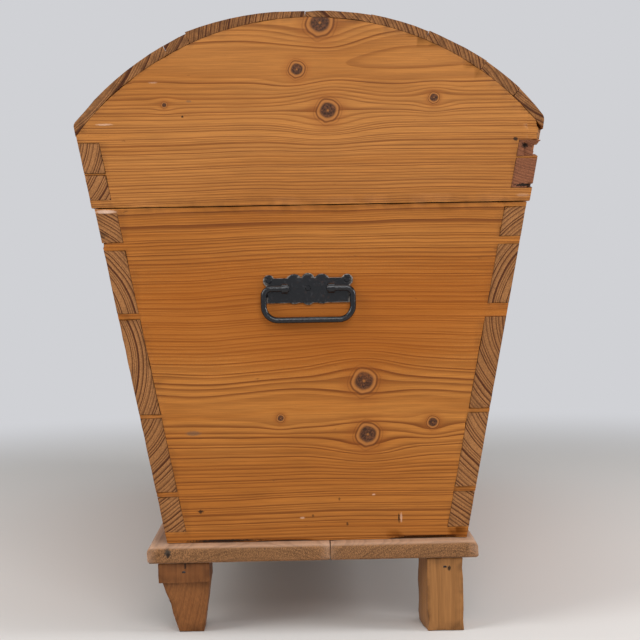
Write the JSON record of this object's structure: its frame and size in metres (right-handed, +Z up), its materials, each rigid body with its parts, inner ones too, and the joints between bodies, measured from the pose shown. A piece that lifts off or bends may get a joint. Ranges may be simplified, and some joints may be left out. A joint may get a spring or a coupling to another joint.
{
  "type": "dome top chest",
  "caption": "Flared pine chest on a boarded base with short feet: arched lid hinged at the back, dovetailed corners, a chest lock and an iron drop handle on each end.",
  "frame": {"origin": "on the floor, under the middle of the chest", "axes": "+X along the chest to its right end, +Y from front to back, +Z up"},
  "size_m": [1.1, 0.494, 0.6489],
  "materials": {
    "box_pine": "waxed old pine",
    "base_pine": "worn pine",
    "foot_pine": "waxed old pine",
    "lid_pine": "waxed old pine",
    "plank_pine": "waxed old pine",
    "handle_iron": "blackened wrought iron",
    "hinge_iron": "blackened wrought iron",
    "lock_iron": "dark iron",
    "nail_iron": "dull iron"
  },
  "bodies": {
    "chest": {"front_board_lower": "box_pine", "front_board_middle": "box_pine", "front_board_upper": "box_pine", "back_board_lower": "box_pine", "back_board_middle": "box_pine", "back_board_upper": "box_pine", "right_end_panel": "box_pine", "left_end_panel": "box_pine", "base_plank_front": "base_pine", "base_plank_back": "base_pine", "front_right_foot": "foot_pine", "front_left_foot": "foot_pine", "back_right_foot": "foot_pine", "back_left_foot": "foot_pine", "right_handle_plate": "handle_iron", "left_handle_plate": "handle_iron", "right_handle_eyes": "handle_iron", "left_handle_eyes": "handle_iron", "right_hinge_strap": "hinge_iron", "left_hinge_strap": "hinge_iron", "right_hinge_pin": "hinge_iron", "left_hinge_pin": "hinge_iron", "lock_plate": "lock_iron", "lock_cover": "lock_iron", "lock_guides": "lock_iron", "escutcheon": "lock_iron", "base_nails": "nail_iron", "foot_nails": "nail_iron", "handle_nails": "nail_iron", "strap_nails": "nail_iron", "escutcheon_nails": "nail_iron", "lock_nails": "nail_iron"},
    "lid": {"lid_right_end": "lid_pine", "lid_left_end": "lid_pine", "lid_front_rail": "lid_pine", "lid_back_rail": "lid_pine", "lid_plank_1": "plank_pine", "lid_plank_2": "plank_pine", "lid_plank_3": "plank_pine", "lid_plank_4": "plank_pine", "lid_plank_5": "plank_pine", "lid_plank_6": "plank_pine", "lid_plank_7": "plank_pine", "lid_plank_8": "plank_pine", "right_lid_leaf": "hinge_iron", "left_lid_leaf": "hinge_iron", "lock_staple": "lock_iron", "lid_plank_nails": "nail_iron", "leaf_nails": "nail_iron", "staple_nails": "nail_iron"},
    "right_bail": {"right_bail": "handle_iron"},
    "left_bail": {"left_bail": "handle_iron"},
    "key": {"key": "lock_iron"},
    "lock_bolt": {"lock_bolt": "lock_iron"}
  },
  "joints": [
    {"name": "lid_hinge", "type": "hinge", "parent": "chest", "child": "lid", "pos_m": [0, 0.23366, 0.4395], "axis": [-1, 0, 0], "range_deg": [0, 100]},
    {"name": "right_bail_swing", "type": "hinge", "parent": "chest", "child": "right_bail", "pos_m": [0.54, -0.0048, 0.3583], "axis": [0, -1, 0], "range_deg": [-6, 180]},
    {"name": "left_bail_swing", "type": "hinge", "parent": "chest", "child": "left_bail", "pos_m": [-0.54, -0.0048, 0.3583], "axis": [0, 1, 0], "range_deg": [-6, 180]},
    {"name": "key_turn", "type": "hinge", "parent": "chest", "child": "key", "pos_m": [0, -0.19825, 0.41557], "axis": [0, 0.981, 0.1942], "range_deg": [0, 80]},
    {"name": "bolt_slide", "type": "slide", "parent": "chest", "child": "lock_bolt", "axis": [1, 0, 0], "range_m": [0, 0.01545]}
  ],
  "couplings": [
    {"joint": "bolt_slide", "follows": "key_turn", "m_per_rad": 0.011049}
  ]
}
